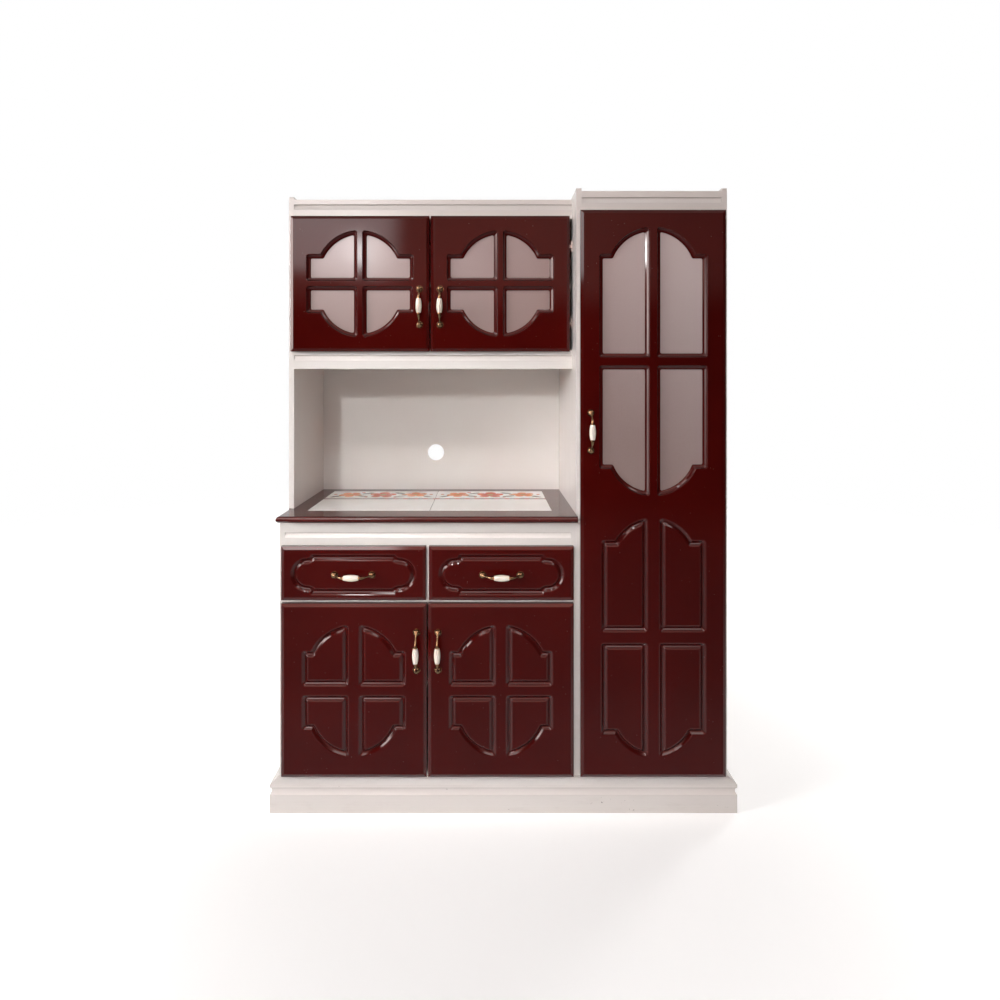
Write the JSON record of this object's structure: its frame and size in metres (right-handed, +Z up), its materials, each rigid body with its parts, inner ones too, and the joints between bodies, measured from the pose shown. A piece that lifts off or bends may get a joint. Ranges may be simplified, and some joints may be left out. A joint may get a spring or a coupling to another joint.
{
  "type": "kitchen cupboard",
  "caption": "Kitchen cupboard with base drawers and doors, a tiled worktop under an open niche, glazed upper doors and a tall glazed-and-panelled door, on a moulded plinth.",
  "frame": {"origin": "on the floor, at the middle of the bounding box seen from above", "axes": "+Z up, +X to the right seen from the front, +Y to the back"},
  "size_m": [1.394, 0.4925, 1.87],
  "materials": {
    "white_lacquer": "semi-gloss white lacquer on board",
    "white_hardboard": "smooth white painted hardboard",
    "maroon_lacquer": "high-gloss dark maroon lacquer",
    "maroon_worktop": "high-gloss dark maroon laminate with a moulded edge",
    "printed_tile": "white glaze with a printed decor",
    "frosted_glass": "grey frosted glass",
    "antique_brass": "antique brass, darkened in the hollows",
    "white_ceramic": "glossy ivory glaze",
    "hinge_steel": "nickel-plated steel",
    "runner_plastic": "white moulded plastic",
    "drawer_board": "white foil on board"
  },
  "bodies": {
    "carcass": {"plinth_front": "white_lacquer", "plinth_returns": "white_lacquer", "base_left_side": "white_lacquer", "base_right_side": "white_lacquer", "base_bottom": "white_lacquer", "base_deck": "white_lacquer", "base_divider": "white_lacquer", "base_back": "white_hardboard", "base_top_rail": "white_lacquer", "worktop": "maroon_worktop", "worktop_tiles": "printed_tile", "upper_left_side": "white_lacquer", "upper_top": "white_lacquer", "upper_bottom": "white_lacquer", "upper_back": "white_hardboard", "upper_top_rail": "white_lacquer", "upper_mid_rail": "white_lacquer", "tall_left_side": "white_lacquer", "tall_right_side": "white_lacquer", "tall_top": "white_lacquer", "tall_bottom": "white_lacquer", "tall_back": "white_hardboard", "tall_top_rail": "white_lacquer", "shelves": "white_lacquer", "shelf_pins": "hinge_steel", "hinge_arms": "hinge_steel", "drawer_runners": "runner_plastic"},
    "upper_left_door": {"upper_left_door_panel": "maroon_lacquer", "upper_left_door_handle": "antique_brass", "upper_left_door_grip": "white_ceramic", "upper_left_door_hinge_cups": "hinge_steel", "upper_left_door_glass": "frosted_glass"},
    "upper_right_door": {"upper_right_door_panel": "maroon_lacquer", "upper_right_door_handle": "antique_brass", "upper_right_door_grip": "white_ceramic", "upper_right_door_hinge_cups": "hinge_steel", "upper_right_door_glass": "frosted_glass"},
    "base_left_door": {"base_left_door_panel": "maroon_lacquer", "base_left_door_handle": "antique_brass", "base_left_door_grip": "white_ceramic", "base_left_door_hinge_cups": "hinge_steel"},
    "base_right_door": {"base_right_door_panel": "maroon_lacquer", "base_right_door_handle": "antique_brass", "base_right_door_grip": "white_ceramic", "base_right_door_hinge_cups": "hinge_steel"},
    "tall_door": {"tall_door_panel": "maroon_lacquer", "tall_door_handle": "antique_brass", "tall_door_grip": "white_ceramic", "tall_door_hinge_cups": "hinge_steel", "tall_door_glass": "frosted_glass"},
    "left_drawer": {"left_drawer_front": "maroon_lacquer", "left_drawer_box": "drawer_board", "left_drawer_bottom": "drawer_board", "left_drawer_handle": "antique_brass", "left_drawer_grip": "white_ceramic"},
    "right_drawer": {"right_drawer_front": "maroon_lacquer", "right_drawer_box": "drawer_board", "right_drawer_bottom": "drawer_board", "right_drawer_handle": "antique_brass", "right_drawer_grip": "white_ceramic"}
  },
  "joints": [
    {"name": "upper_left_door_swing", "type": "hinge", "parent": "carcass", "child": "upper_left_door", "pos_m": [-0.657, -0.11275, 1.5935], "axis": [0, 0, -1], "range_deg": [0, 95]},
    {"name": "upper_right_door_swing", "type": "hinge", "parent": "carcass", "child": "upper_right_door", "pos_m": [0.202, -0.11275, 1.5935], "axis": [0, 0, 1], "range_deg": [0, 95]},
    {"name": "base_left_door_swing", "type": "hinge", "parent": "carcass", "child": "base_left_door", "pos_m": [-0.657, -0.19675, 0.364], "axis": [0, 0, -1], "range_deg": [0, 95]},
    {"name": "base_right_door_swing", "type": "hinge", "parent": "carcass", "child": "base_right_door", "pos_m": [0.202, -0.19675, 0.364], "axis": [0, 0, 1], "range_deg": [0, 95]},
    {"name": "tall_door_swing", "type": "hinge", "parent": "carcass", "child": "tall_door", "pos_m": [0.657, -0.19675, 0.9525], "axis": [0, 0, 1], "range_deg": [0, 95]},
    {"name": "left_drawer_slide", "type": "slide", "parent": "carcass", "child": "left_drawer", "axis": [0, -1, 0], "range_m": [0, 0.3]},
    {"name": "right_drawer_slide", "type": "slide", "parent": "carcass", "child": "right_drawer", "axis": [0, -1, 0], "range_m": [0, 0.3]}
  ]
}
